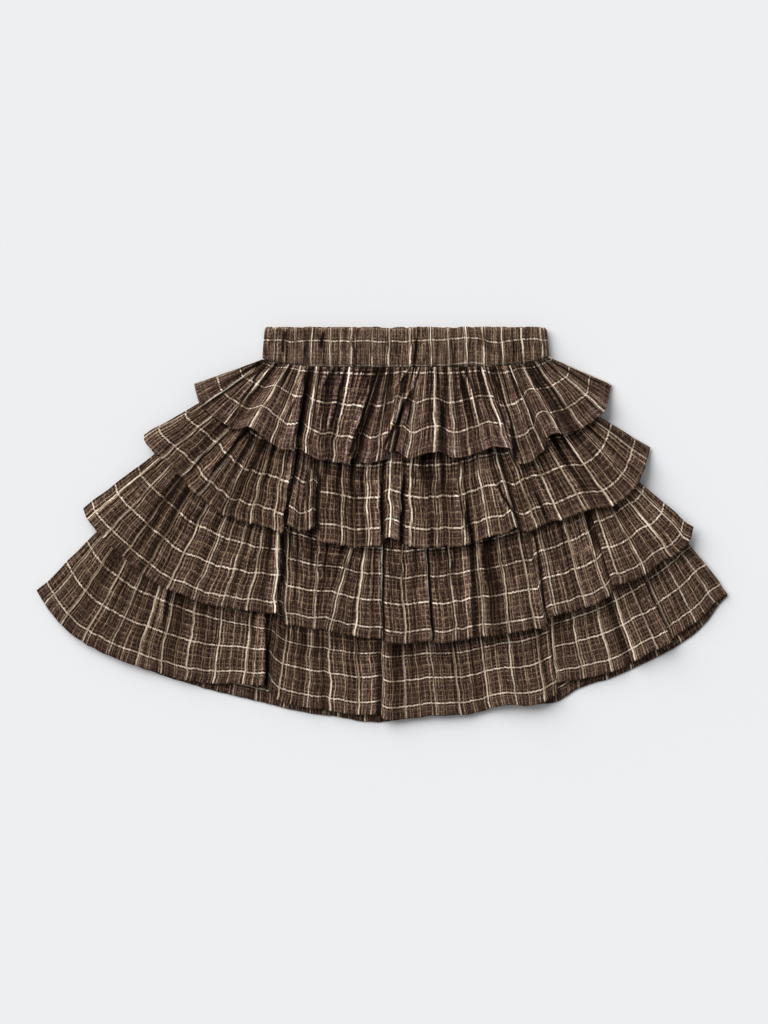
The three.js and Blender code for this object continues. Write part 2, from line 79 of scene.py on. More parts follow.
# One fold line of a ruffle: x at the seam, x and down at the hem, and how high it rises there
FRONT_FOLDS = [
    [
        (-96, -150.5, 45, 0), (-95, -146, 61, 1.5), (-93.5, -142.5, 65.5, 0.3),
        (-91, -137, 70.5, 2.6), (-85, -121.5, 81, 1.6), (-81.5, -117.5, 81.5, 2),
        (-77.5, -109.5, 80, 6.5), (-73.5, -101.5, 84, 8.5), (-67, -92, 92, 6),
        (-62.5, -79, 98.5, 6.6), (-60, -69.5, 97.5, 5.5), (-58.5, -73, 94.5, 1.6),
        (-57, -67, 94.5, 0.3), (-55, -64, 100, 3.4), (-48, -55, 105, 3.8), (-33, -44, 107, 1.8),
        (-17, -34.5, 109, 3.4), (-5, -27, 109, 5), (-3, -28.5, 106, 1.6), (-0.5, -23, 106, 0.4),
        (4, -10.5, 109, 2.8), (9, 4.5, 105.5, 0.5), (17, 2, 99, 7), (20, 5, 101, 6.4),
        (21.5, 9, 98.5, 1), (25, 12, 101, 4), (30.5, 21, 106.5, 4.2), (38.5, 36, 101, 6),
        (42.5, 44, 100.5, 5.6), (45.5, 49, 102.5, 1.2), (51, 56, 104, 4.6), (59, 68, 103.5, 4.2),
        (65, 76, 101, 3.4), (69.5, 84, 97, 7), (76, 94.5, 96, 7.4), (81, 101.5, 98.5, 6.6),
        (83, 103, 105, 0.8), (87, 108, 109.5, 2.8), (97, 119, 106.5, 3), (101.5, 128, 97.5, 1.4),
        (105, 130.5, 89, 7.6), (109, 138.5, 85, 9), (113, 145.5, 86.5, 7), (117, 150.5, 84, 2.4),
        (121, 157, 81.5, 4), (125.5, 166.5, 75, 2.6), (129.5, 177, 67, 1.6), (131, 179, 60, 0.8),
        (132.5, 183, 45.5, 0),
    ],
    [
        (-122.5, -191, 86.5, 0), (-121, -190.5, 92, 0.8), (-118.5, -183, 100, 1.6),
        (-110.5, -170.5, 111, 2.2), (-100, -157.5, 123, 1), (-97.5, -153, 129.5, 4.5),
        (-94.5, -142.5, 138.5, 3), (-91, -129, 149.5, 4.6), (-88, -121, 153, 2),
        (-85, -109.5, 156, 4), (-79, -97, 159, 2.8), (-73, -85.5, 163, 4.6), (-68, -81, 165, 5.5),
        (-67, -82, 162, 1.4), (-65, -76, 159, 0.3), (-62.5, -76.5, 157.5, 7),
        (-59, -69.5, 163, 8.5), (-54.5, -57.5, 161.5, 7), (-53, -59, 159, 1.5),
        (-50.5, -54.5, 162.5, 0.4), (-47, -52, 171, 2.8), (-36, -39, 173.5, 3.4),
        (-25, -26.5, 176, 2.4), (-13, -13, 175, 3.2), (-3.5, -3.5, 174.5, 4.2),
        (0, -0.5, 171, 1.4), (4.5, 2.5, 168, 4.6), (12, 10.5, 171, 5.5), (18.5, 15, 173.5, 1),
        (21, 18.5, 175, 3), (28, 26.5, 176, 3.4), (35, 36, 177.5, 4), (37, 37.5, 176.5, 2.6),
        (50.5, 53.5, 175.5, 3.2), (61, 66.5, 174.5, 4.2), (64, 70.5, 173.5, 1.2),
        (68, 77.5, 171, 3.6), (74.5, 89.5, 167, 6), (79, 97, 165.5, 7), (84, 105, 161, 5.6),
        (87, 109.5, 162.5, 2), (90.5, 116, 164, 3), (96, 126.5, 159, 4.5), (99, 132, 157, 1.4),
        (102.5, 137, 155, 3.6), (109.5, 145.5, 153, 3.2), (119, 165.5, 145.5, 2.6),
        (125.5, 172, 145, 1.6), (129.5, 181, 143.5, 3.4), (136, 193.5, 136, 2.8),
        (142.5, 202.5, 126.5, 2.2), (147, 208, 114.5, 1.2), (151, 213.5, 97, 0),
    ],
    [
        (-162.5, -240, 145.5, 0), (-160, -236, 154.5, 0.8), (-154.5, -223, 169, 1.6),
        (-148, -207, 183, 1.2), (-140, -190.5, 197.5, 2.6), (-131, -176, 207, 1.6),
        (-121.5, -161.5, 213, 3), (-112, -145, 220, 1.8), (-100, -125, 224, 3.2),
        (-89.5, -105.5, 227, 2.6), (-82, -84, 228, 6), (-80, -85.2, 227, 1.8),
        (-77.5, -80.5, 229.5, 0.4), (-75, -77, 237.5, 1.2), (-65, -66.5, 239, 1.8),
        (-49, -55, 241.5, 1.2), (-27.5, -45, 241, 0.4), (-25.5, -48.5, 240.5, 6),
        (-21.5, -42.5, 242.5, 4.4), (-17, -33, 245.5, 3), (-10.5, -19, 247.5, 3.8),
        (-2.5, -2.5, 249, 3.4), (0, 0, 250, 0.8), (2.5, 3, 252, 3.2), (11, 13.5, 253, 3.4),
        (22.5, 26.5, 252, 2.4), (32, 37.5, 251, 4.2), (34.5, 40, 250.5, 0.8), (37, 43, 252, 3.6),
        (51, 58.5, 251, 3.2), (63, 69, 249.5, 1.6), (69.5, 76, 248, 3.6), (82.5, 93.5, 247, 3),
        (91, 103, 245, 2), (98.5, 113, 243, 3.8), (104, 120, 242, 1.8), (110.5, 129, 240.5, 3.4),
        (113.5, 131, 235, 1), (117.5, 135, 232, 2.8), (130.5, 151, 227, 2.4),
        (142.5, 166.5, 222.5, 2.2), (152, 178.5, 216, 1.2), (157, 184, 209.5, 0.3),
        (158.5, 183, 207, 6), (161.5, 191, 205, 5), (165.5, 205.5, 200, 3.4),
        (170.5, 222.5, 189, 2.8), (175, 235, 181.5, 2.2), (178.5, 243, 173.5, 1.4),
        (181.5, 247, 160, 0),
    ],
    [
        (-210.5, -276, 211, 0), (-207, -267, 225, 0.8), (-201.5, -257, 237.5, 1.6),
        (-193, -243, 249.5, 2.4), (-182.5, -223, 261, 1.8), (-172, -202.5, 269.5, 2.8),
        (-161.5, -180, 277, 1.4), (-147, -161, 281.5, 2.6), (-131, -143, 284.5, 2),
        (-111, -121, 285, 3), (-89.5, -95, 286, 6), (-87.5, -96.2, 284.5, 1.8),
        (-85, -92.5, 288, 0.4), (-81.5, -90, 293, 1), (-73.5, -83, 298.5, 1.8),
        (-64, -71, 302, 2.4), (-51, -53, 305.5, 3), (-47, -46.5, 305.5, 0.8),
        (-43, -41.5, 307, 2.6), (-25, -22.5, 309.5, 2.6), (-7, -5.5, 309.5, 3.6),
        (-1.5, -1.5, 309, 0.5), (1, 1, 313.5, 4), (9.5, 11, 314.5, 3.2), (25, 30.5, 311.5, 2.4),
        (41, 49, 310.5, 2.8), (55, 65, 310, 2.4), (68, 78.5, 307.5, 1), (79, 89, 304, 2.8),
        (90.5, 100, 302, 5.2), (101.5, 113, 303, 4.8), (115, 126.5, 300.5, 4.8),
        (125, 135, 295.5, 4), (129, 138.5, 293.5, 3.4), (131, 137, 286.5, 0.6),
        (135, 143, 283.5, 1.6), (144, 156, 282, 2.2), (157.5, 173.5, 278, 2.4),
        (169, 188, 273.5, 2.2), (175, 197, 269, 0.8), (178.5, 201, 267, 4.2),
        (186.5, 213.5, 260, 5.2), (197.5, 230.5, 252, 6), (199.5, 228.5, 251, 1.8),
        (201.5, 231.5, 249.5, 0.4), (207, 237.5, 245, 1.4), (215, 250.5, 236, 2.2),
        (221.5, 260, 227, 1.6), (227, 268, 219, 0.8), (231, 276, 214, 0),
    ],
]
BACK_FOLDS = [
    [
        (-96, -150, 46, 0), (-90, -140, 67, 0), (-70, -105, 84, 0), (-40, -55, 100, 0),
        (0, -10, 104, 0), (40, 40, 102, 0), (75, 92, 98, 0), (105, 140, 88, 0), (125, 170, 70, 0),
        (132.5, 182, 46.5, 0),
    ],
    [
        (-122.5, -190, 87.5, 0), (-112, -178, 103, 0), (-85, -135, 142, 0), (-50, -75, 160, 0),
        (0, -5, 170, 0), (50, 55, 171, 0), (90, 115, 158, 0), (125, 172, 140, 0),
        (145, 205, 118, 0), (151, 212.5, 98, 0),
    ],
    [
        (-162.5, -239, 146.5, 0), (-150, -220, 170, 0), (-115, -160, 211, 0), (-60, -75, 235, 0),
        (0, 0, 247, 0), (60, 75, 244, 0), (115, 145, 226, 0), (150, 200, 198, 0),
        (172, 236, 178, 0), (181.5, 246, 161, 0),
    ],
    [
        (-210.5, -275, 212, 0), (-197, -246, 246.5, 0), (-170, -203, 268.5, 0),
        (-130, -144, 288.5, 0), (-95, -98.5, 299.5, 0), (-65, -66.5, 307.5, 0),
        (-40, -41.5, 311, 0), (-5, -5.5, 316, 0), (20, 21, 313.5, 0), (45, 49, 309, 0),
        (80, 89, 301, 0), (103, 113, 301, 0), (116, 127, 301.5, 0), (130, 141.5, 298.5, 0),
        (144, 156, 289.5, 0), (165, 182.5, 280.5, 0), (185, 207, 269.5, 0), (205, 231, 257.5, 0),
        (220, 253.5, 241, 0), (228, 267, 224, 0), (231, 275, 215, 0),
    ],
]

# How each ruffle's checks and gathers differ: first_line (up from the hem), check (its height),
# look (how full its gathers are, 1 for the fullest), length (from seam to hem, along the cloth)
RUFFLES = [
    (21.6, 24.4, 1.0, 75.5),
    (15.2, 24.4, 0.9, 84),
    (9.6, 22.0, 0.8, 92),
    (10.4, 21.2, 0.6, 83),
]
UV_CHECK = 22.0

# Sharp creases of each ruffle's front: x and down at one end, x and down at the other, width, depth
CREASES = [
    [
        (-92, 30.4, -140.8, 61.6, 1.3, 0.6), (-100.2, 40, -123.2, 77, 1.3, 0.6),
        (-89, 35.5, -109.4, 61.4, 1.5, 0.6), (-69.6, 58.6, -76.1, 73.4, 1.2, 0.6),
        (-59, 33.6, -66.5, 88, 3.0, 1.2), (-40, 34, -48.4, 51.2, 1.2, 0.8),
        (-29.9, 34, -41.9, 80.8, 1.3, 0.9), (-23.4, 34, -27.2, 52, 1.2, 0.8),
        (-9.6, 49.6, -27.2, 104.8, 1.4, 0.9), (20, 37, 12, 49, 1.4, 0.9),
        (22.4, 52, 1.6, 95.2, 1.8, 1.0), (28, 36, 20, 76, 1.2, 0.7),
        (47.8, 60, 48.7, 84, 2.4, 0.6), (67, 36, 78.4, 77, 1.3, 0.8),
        (89.4, 42, 104, 80.8, 1.3, 0.8), (101.4, 78, 107, 108, 2.2, 0.9),
        (113.5, 58.4, 120.8, 79, 1.2, 0.6), (136.6, 70, 143, 88, 1.5, 0.7),
    ],
    [
        (-105, 78, -136, 116, 1.7, 1.0), (-104, 85, -119.2, 114.6, 1.3, 0.8),
        (-91, 88, -106.4, 117.1, 1.7, 1.0), (-124.3, 85, -157, 118.4, 1.2, 0.6),
        (-66.5, 98, -71, 128, 2.2, 0.9), (-50.5, 116, -52.5, 165, 2.2, 0.9),
        (-1, 122, -1.8, 167, 1.4, 0.8), (16.8, 118, 14, 174, 1.6, 1.0),
        (61.6, 136, 67, 164, 1.3, 0.7), (66, 138, 71, 175, 1.7, 0.9),
        (91, 126, 108, 155, 1.3, 0.8), (121.6, 132, 131, 155, 1.2, 0.6),
    ],
    [
        (-78.5, 164, -80, 206, 2.4, 0.7), (0.4, 172, 0.8, 250, 1.2, 0.8),
        (35.5, 172, 40, 250, 1.3, 0.9), (72, 170, 73.6, 250, 3.0, 0.7),
        (121.6, 165, 129.6, 228, 1.2, 0.7), (161, 144, 170, 179, 2.8, 0.6),
    ],
    [
        (-169.6, 205, -175, 239, 1.8, 0.6), (-92, 224, -93.6, 288, 1.8, 0.9),
    ],
]
CREASE_DENT = 0.6


def seam_down(seam, x):
    """How far down a seam lies at x, a flattened arc between its ends."""
    left, left_down, right, right_down, middle_down, roundness = seam
    middle = (left + right) / 2
    t = np.clip((x - middle) / (right - middle), -1, 1)
    ends = left_down + (right_down - left_down) * (t + 1) / 2
    return ends + (middle_down - ends) * (1 - np.abs(t) ** roundness)


# The skirt's own place in the frame, from the waistband that everything hangs on
BAND_LOW, BAND_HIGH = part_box("waistband")
ORIGIN = np.array([BAND_LOW.x - BAND_LEFT * MM, BAND_HIGH.y, BAND_LOW.z])


class HeightMap:
    """The height of all that has been laid down so far, for the next piece to rest on."""

    cell = 2.0
    half = 300.0
    spread = 6
    softness = 3
    most_steps = 24

    def __init__(self):
        self.side = int(2 * self.half / self.cell) + 1
        self.laid = np.full((self.side, self.side), -SEAM_GAP)
        self.support = self.laid

    def lay_down(self, node):
        """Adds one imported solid's height."""
        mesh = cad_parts[node].data
        mesh.calc_loop_triangles()
        places = np.empty(len(mesh.vertices) * 3)
        mesh.vertices.foreach_get("co", places)
        places = (places.reshape(-1, 3) - ORIGIN) / MM
        corners = np.empty(len(mesh.loop_triangles) * 3, dtype=np.int32)
        mesh.loop_triangles.foreach_get("vertices", corners)
        a, b, c = places[corners.reshape(-1, 3)].transpose(1, 0, 2)
        longest = max(np.linalg.norm(a - b, axis=1).max(), np.linalg.norm(b - c, axis=1).max())
        steps = min(int(longest / self.cell) + 2, self.most_steps)
        for j in range(steps + 1):
            for k in range(steps - j + 1):
                wa, wb = j / steps, k / steps
                point = a * wa + b * wb + c * (1 - wa - wb)
                column, row = self.cells(point[:, 0], point[:, 1], self.side - 1)
                place = np.rint(row).astype(int), np.rint(column).astype(int)
                np.maximum.at(self.laid, place, point[:, 2])
        self.support = self.averaged(self.highest(self.laid))

    def bed(self):
        """A map that keeps the heights as they are now."""
        kept = HeightMap()
        kept.support = self.support.copy()
        return kept

    def cells(self, x, y, last):
        """Column and row of each place, counted from the map's corner."""
        column = np.clip((x + self.half) / self.cell, 0, last)
        row = np.clip((y + 2 * self.half) / self.cell, 0, last)
        return column, row

    def neighbours(self, grid, reach, axis):
        pad = [(reach, reach) if i == axis else (0, 0) for i in range(2)]
        padded = np.pad(grid, pad, mode="edge")
        return [np.take(padded, range(k, k + self.side), axis=axis) for k in range(2 * reach + 1)]

    def highest(self, grid):
        for axis in (0, 1):
            grid = np.maximum.reduce(self.neighbours(grid, self.spread, axis))
        return grid

    def averaged(self, grid):
        for axis in (0, 1):
            grid = np.mean(self.neighbours(grid, self.softness, axis), axis=0)
        return grid

    def at(self, x, y):
        column, row = self.cells(x, y, self.side - 1.001)
        c, r = column.astype(int), row.astype(int)
        u, v = column - c, row - r
        low = self.support[r, c] * (1 - u) + self.support[r, c + 1] * u
        high = self.support[r + 1, c] * (1 - u) + self.support[r + 1, c + 1] * u
        return low * (1 - v) + high * v


def smooth_through(points, per_interval):
    """A centripetal curve through points[..., n, 3], per_interval steps between two of them."""
    first = 2 * points[..., :1, :] - points[..., 1:2, :]
    last = 2 * points[..., -1:, :] - points[..., -2:-1, :]
    padded = np.concatenate([first, points, last], axis=-2)
    p0, p1, p2, p3 = (padded[..., k : k + points.shape[-2] - 1, :] for k in range(4))

    def gap(a, b):
        return np.maximum(((b - a) ** 2).sum(-1, keepdims=True), 1e-8) ** 0.25

    d0, d1, d2 = gap(p0, p1), gap(p1, p2), gap(p2, p3)
    t1 = ((p1 - p0) / d0 - (p2 - p0) / (d0 + d1) + (p2 - p1) / d1) * d1
    t2 = ((p2 - p1) / d1 - (p3 - p1) / (d1 + d2) + (p3 - p2) / d2) * d1
    steps = []
    for k in range(per_interval):
        t = k / per_interval
        cubic = 2 * p1 - 2 * p2 + t1 + t2
        square = -3 * p1 + 3 * p2 - 2 * t1 - t2
        steps.append(p1 + t1 * t + square * t**2 + cubic * t**3)
    curve = np.stack(steps, axis=-2)
    curve = curve.reshape(*curve.shape[:-3], -1, 3)
    return np.concatenate([curve, points[..., -1:, :]], axis=-2)


# Knots of a line's noise, and the one that lies at its zero
WANDER_KNOTS = 4096
WANDER_START = 1000


def wander(places, spacing, seed):
    """Smooth noise along a line, from -1 to 1, with a turn about every spacing."""
    knots = np.random.default_rng(seed).uniform(-1, 1, WANDER_KNOTS)
    t = places / spacing + WANDER_START
    i = np.floor(t).astype(int)
    f = t - i
    f = f * f * (3 - 2 * f)
    return knots[i % WANDER_KNOTS] * (1 - f) + knots[(i + 1) % WANDER_KNOTS] * f


def bell(distance, width):
    return np.exp(-((distance / width) ** 2))


def run_length(points, axis):
    """Distance along a grid's rows or columns, from the first point."""
    steps = np.linalg.norm(np.diff(points, axis=axis), axis=-1)
    start = np.zeros_like(np.take(steps, [0], axis=axis))
    return np.concatenate([start, np.cumsum(steps, axis=axis)], axis=axis)


def grid_normals(points):
    """Upward normals of points[across, down]."""
    along = np.gradient(points, axis=0)
    drop = np.gradient(points, axis=1)
    normal = np.cross(drop, along)
    return normal / np.maximum(np.linalg.norm(normal, axis=-1, keepdims=True), 1e-9)


def even_steps(points, spacing):
    """Spreads a grid's columns evenly along the hem, so that no fold is left coarse."""
    run = run_length(points[:, -1:], 0)[:, 0]
    count = int(run[-1] / spacing) + 1
    wanted = np.linspace(0, run[-1], count)
    at = np.interp(wanted, run, np.arange(len(run)))
    i = np.minimum(at.astype(int), len(run) - 2)
    f = (at - i)[:, None, None]
    return points[i] * (1 - f) + points[i + 1] * f


def blurred(values, reach):
    """Average over the neighbouring columns of a grid, reach to either side."""
    padded = np.pad(values, [(reach, reach), (0, 0)], mode="edge")
    total = np.cumsum(np.concatenate([np.zeros_like(padded[:1]), padded]), axis=0)
    return (total[2 * reach + 1 :] - total[: -2 * reach - 1]) / (2 * reach + 1)


# Painted shade of lying below the columns to either side: how many, depth in mm, share of the shade
HOLLOWS = [(3, 0.45, 0.45), (11, 3.0, 0.35)]
# A slope steeper than this upward share of its normal gets painted shade too
STEEP_FROM = 0.75
STEEP_SPAN = 0.45
STEEP_SHADE = 0.5


def hollows(height):
    """How deep each place lies between its neighbours across the folds, from -1 to 1."""
    return sum(
        np.clip((blurred(height, reach) - height) / depth, -1, 1) * share
        for reach, depth, share in HOLLOWS
    )


def write_shell(name, middle, thickness, cloth_u, cloth_v, marks=None):
    """A closed thin shell round a grid of points, with the cloth's own grain as its UV map."""
    across, down = middle.shape[:2]
    normal = grid_normals(middle)
    half = (thickness / 2)[..., None] * normal
    points = np.concatenate([(middle + half).reshape(-1, 3), (middle - half).reshape(-1, 3)])
    points[:, 2] = np.maximum(points[:, 2], 0)
    index = np.arange(across * down).reshape(across, down)
    under = index + across * down

    def quads(a, b, c, d):
        return np.stack([a, b, c, d], axis=-1).reshape(-1, 4)

    faces = np.concatenate([
        quads(index[:-1, :-1], index[:-1, 1:], index[1:, 1:], index[1:, :-1]),
        quads(under[:-1, :-1], under[1:, :-1], under[1:, 1:], under[:-1, 1:]),
        quads(index[:-1, 0], index[1:, 0], under[1:, 0], under[:-1, 0]),
        quads(index[1:, -1], index[:-1, -1], under[:-1, -1], under[1:, -1]),
        quads(index[0, 1:], index[0, :-1], under[0, :-1], under[0, 1:]),
        quads(index[-1, :-1], index[-1, 1:], under[-1, 1:], under[-1, :-1]),
    ])
    grain = np.stack([cloth_u, cloth_v], axis=-1).reshape(-1, 2)
    # painted shade in the hollows between folds and on steep slopes, for the material
    steep = np.clip((STEEP_FROM - normal[..., 2]) / STEEP_SPAN, 0, 1)
    painted_hollow_shade = hollows(middle[..., 2]) + STEEP_SHADE * steep
    both = {"painted_hollow_shade": np.concatenate([painted_hollow_shade.ravel(), -painted_hollow_shade.ravel()])}
    marks = marks or {"spread": np.ones((across, down))}
    for label, values in marks.items():
        both[label] = np.concatenate([values.ravel(), values.ravel()])
    return write_mesh(name, points, faces, np.concatenate([grain, grain]), both)


def write_mesh(name, points, faces, grain, marks):
    """Writes a mesh object in the frame, from millimetres on the skirt's own pattern."""
    mesh = bpy.data.meshes.new(name)
    mesh.vertices.add(len(points))
    mesh.vertices.foreach_set("co", (points * MM + ORIGIN).ravel())
    mesh.loops.add(faces.size)
    mesh.loops.foreach_set("vertex_index", faces.ravel().astype(np.int32))
    mesh.polygons.add(len(faces))
    mesh.polygons.foreach_set("loop_start", np.arange(0, faces.size, 4, dtype=np.int32))
    mesh.update(calc_edges=True)
    layer = mesh.uv_layers.new(name="grain")
    layer.data.foreach_set("uv", (grain[faces.ravel()] * MM).ravel())
    mesh.polygons.foreach_set("use_smooth", np.ones(len(faces), dtype=bool))
    for label, values in marks.items():
        mark = mesh.attributes.new(label, "FLOAT", "POINT")
        mark.data.foreach_set("value", values.astype(np.float32))
    mesh.validate()
    return place_object(name, mesh)


def place_object(name, data):
    thing = bpy.data.objects.new(name, data)
    bpy.context.scene.collection.objects.link(thing)
    return thing


# Materials


def new_material(name, looks):
    """A material and its Principled shader, with these sockets set."""
    material = bpy.data.materials.new(name)
    material.use_nodes = True
    surface = material.node_tree.nodes["Principled BSDF"]
    for label, value in looks.items():
        surface.inputs[label].default_value = value
    return material, surface


def new_group(name, inputs, outputs):
    """An empty shader node group on the cloth's grain, with named number sockets besides."""
    group = bpy.data.node_groups.new(name, "ShaderNodeTree")
    socket = group.interface.new_socket
    socket("Grain", in_out="INPUT", socket_type="NodeSocketVector")
    for label, value in inputs.items():
        socket(label, in_out="INPUT", socket_type="NodeSocketFloat").default_value = value
    for label in outputs:
        socket(label, in_out="OUTPUT", socket_type="NodeSocketFloat")
    given = group.nodes.new("NodeGroupInput").outputs
    return group, given, group.nodes.new("NodeGroupOutput").inputs


class Shade:
    """Short calls for the shader nodes used here."""

    warmth = (1.0, 1.12, 1.24)

    def __init__(self, tree):
        self.tree = tree

    def link(self, value, socket):
        if isinstance(value, (int, float, tuple, list)):
            socket.default_value = value
        else:
            self.tree.links.new(value, socket)

    def math(self, operation, *values, kind="ShaderNodeMath"):
        node = self.tree.nodes.new(kind)
        node.operation = operation
        for value, socket in zip(values, node.inputs):
            self.link(value, socket)
        return node.outputs[0]

    def plus(self, a, b):
        return self.math("ADD", a, b)

    def minus(self, a, b):
        return self.math("SUBTRACT", a, b)

    def times(self, a, b):
        return self.math("MULTIPLY", a, b)

    def scaled(self, vector, scale):
        return self.math("MULTIPLY", vector, scale, kind="ShaderNodeVectorMath")

    def split(self, vector):
        node = self.tree.nodes.new("ShaderNodeSeparateXYZ")
        self.link(vector, node.inputs[0])
        return node.outputs[0], node.outputs[1]

    def warm(self, value):
        """A grey of painted shade, redder the darker it gets, as brown cotton is in its folds."""
        node = self.tree.nodes.new("ShaderNodeCombineColor")
        for power, socket in zip(self.warmth, node.inputs):
            self.link(self.math("POWER", value, power), socket)
        return node.outputs[0]

    def noise(self, grain, across, along, detail=1.0, roughness=0.5):
        """Noise on the grain, with its turns for each millimetre across and along the threads."""
        vector = self.scaled(grain, (across, along, 1))
        node = self.tree.nodes.new("ShaderNodeTexNoise")
        self.link(vector, node.inputs["Vector"])
        for label, value in (("Scale", 1.0), ("Detail", detail), ("Roughness", roughness)):
            self.link(value, node.inputs[label])
        return node.outputs["Fac"]

    def random(self, value):
        node = self.tree.nodes.new("ShaderNodeTexWhiteNoise")
        node.noise_dimensions = "1D"
        self.link(value, node.inputs["W"])
        return node.outputs["Value"]

    def ramp(self, value, low, high, to_low=0.0, to_high=1.0):
        node = self.tree.nodes.new("ShaderNodeMapRange")
        node.interpolation_type = "SMOOTHSTEP"
        for item, socket in zip((value, low, high, to_low, to_high), node.inputs):
            self.link(item, socket)
        return node.outputs[0]

    def mix(self, factor, a, b, blend="MIX"):
        node = self.tree.nodes.new("ShaderNodeMix")
        node.data_type = "RGBA"
        node.blend_type = blend
        self.link(factor, node.inputs["Factor"])
        self.link(a, node.inputs[6])
        self.link(b, node.inputs[7])
        return node.outputs[2]

    def bump(self, height, strength, distance, normal=None):
        node = self.tree.nodes.new("ShaderNodeBump")
        self.link(strength, node.inputs["Strength"])
        self.link(distance, node.inputs["Distance"])
        self.link(height, node.inputs["Height"])
        if normal is not None:
            self.link(normal, node.inputs["Normal"])
        return node.outputs[0]

    def group(self, group, **values):
        node = self.tree.nodes.new("ShaderNodeGroup")
        node.node_tree = group
        for label, value in values.items():
            self.link(value, node.inputs[label])
        return node.outputs

    def attribute(self, name):
        node = self.tree.nodes.new("ShaderNodeAttribute")
        node.attribute_name = name
        return node.outputs["Fac"]


# Lines of the check, warp and then weft: place as a share of one repeat, width in mm, strength,
# stray in mm. The ground is darker at the edge of the cream lines.
CHECK_LINES = {
    "Cream": ([(0.0, 1.15, 1.0, 3.2)], [(0.0, 1.15, 1.0, 0.4)]),
    "Tan": (
        [
            (0.11, 0.8, 1.0, 0.9),
            (0.21, 0.6, 0.5, 1.4),
            (0.33, 0.65, 0.5, 1.6),
            (0.46, 0.85, 1.0, 2.0),
            (0.56, 0.65, 0.6, 1.2),
            (0.72, 0.65, 0.5, 1.8),
            (0.90, 0.8, 0.9, 1.0),
        ],
        [
            (0.14, 0.75, 0.55, 0.8),
            (0.31, 0.65, 0.35, 1.2),
            (0.48, 1.9, 0.2, 1.5),
            (0.50, 0.75, 0.65, 1.5),
            (0.70, 0.65, 0.4, 1.5),
            (0.87, 0.75, 0.55, 0.8),
        ],
    ),
    "Edge": ([(0.0, 3.4, 1.0, 3.2)], [(0.0, 3.4, 1.0, 0.4)]),
}
# A line fades out between these shares of its width
LINE_FADE = (0.3, 0.7)
LINE_SEEDS = (17.3, 31.7)
WARP_SEED = 3.0
WEFT_SEED = 71.0
STRENGTH_SEED = 5.1

# How the whole check strays, two noises across and two down: their turns for each mm, reach in mm
CHECK_STRAYS = [(0.01, 0.03, 4.0), (0.02, 0.09, 2.4), (0.03, 0.01, 4.0), (0.55, 0.05, 2.2)]


def line_mask(shade, place, repeat, lines, seed, spread=1.0):
    """How strongly the lines of one direction cover a place, each repeat a little different."""
    total = 0.0
    for k, (share, width, strength, stray) in enumerate(lines):
        turns = shade.minus(shade.math("DIVIDE", place, repeat), share - 0.5)
        cell = shade.math("FLOOR", turns)
        chance = shade.random(shade.plus(cell, seed + LINE_SEEDS[0] * k))
        shift = shade.times(shade.minus(chance, 0.5), stray)
        across = shade.times(shade.minus(shade.math("FRACT", turns), 0.5), repeat)
        distance = shade.times(shade.math("ABSOLUTE", shade.minus(across, shift)), spread)
        near, far = (width * fade for fade in LINE_FADE)
        mask = shade.ramp(distance, near, far, 1.0, 0.0)
        other = shade.random(shade.plus(cell, seed + STRENGTH_SEED + LINE_SEEDS[1] * k))
        weight = shade.ramp(other, 0.0, 0.7, strength * 0.5, strength)
        total = shade.math("MAXIMUM", total, shade.times(mask, weight))
    return total


def check_group():
    """Cream and tan yarns of an uneven check on the cloth's grain, in millimetres."""
    inputs = {"Repeat": UV_CHECK, "Spread": 1.0}
    group, given, result = new_group("Woven check", inputs, CHECK_LINES)
    shade = Shade(group)
    grain, repeat = given["Grain"], given["Repeat"]
    u, v = shade.split(grain)
    # a line strays along its own length and hardly across it, so its width stays the same
    strays = []
    for across, along, reach in CHECK_STRAYS:
        stray = shade.noise(grain, across, along, 2.0)
        strays.append(shade.times(shade.minus(stray, 0.5), reach))
    u = shade.plus(u, shade.plus(strays[0], strays[1]))
    v = shade.plus(v, shade.plus(strays[2], strays[3]))
    masks = {}
    for label, (warp_lines, weft_lines) in CHECK_LINES.items():
        warp = line_mask(shade, u, repeat, warp_lines, WARP_SEED, given["Spread"])
        weft = line_mask(shade, v, repeat, weft_lines, WEFT_SEED)
        masks[label] = shade.math("MAXIMUM", warp, weft)
    # slubs make beads of light and dark along a yarn, and the tan is fainter in patches
    beading = shade.ramp(shade.noise(grain, 0.9, 0.9), 0.3, 0.48, 0.65, 1.0)
    patches = shade.ramp(shade.noise(grain, 0.16, 0.13), 0.36, 0.58, 0.75, 1.0)
    shade.link(shade.times(masks["Cream"], beading), result["Cream"])
    shade.link(shade.times(shade.times(masks["Tan"], patches), beading), result["Tan"])
    shade.link(masks["Edge"], result["Edge"])
    return group


def crinkle_group():
    """Height of the cotton's crinkles, which run from seam to hem, and of its open weave."""
    group, given, result = new_group("Crinkle", {}, ("Crinkle", "Crease", "Weave", "Slub"))
    shade = Shade(group)
    grain = given["Grain"]
    creases = shade.noise(grain, 0.3, 0.022, 1.5)
    thin = shade.ramp(shade.math("ABSOLUTE", shade.minus(creases, 0.5)), 0.015, 0.07, 1.0, 0.0)
    patchy = shade.ramp(shade.noise(grain, 0.12, 0.05), 0.36, 0.54, 0.2, 1.0)
    shade.link(shade.times(thin, patchy), result["Crease"])
    ridges = shade.times(shade.noise(grain, 0.62, 0.06, 2.0, 0.55), 0.7)
    puckers = shade.times(shade.noise(grain, 0.5, 0.35, 2.0, 0.6), 0.3)
    shade.link(shade.plus(ridges, puckers), result["Crinkle"])
    for label, fine, coarse in (("Weave", 1.0, 0.35), ("Slub", 0.9, 0.03)):
        warp = shade.noise(grain, fine, coarse)
        weft = shade.noise(grain, coarse, fine)
        shade.link(shade.times(shade.plus(warp, weft), 0.5), result[label])
    return group


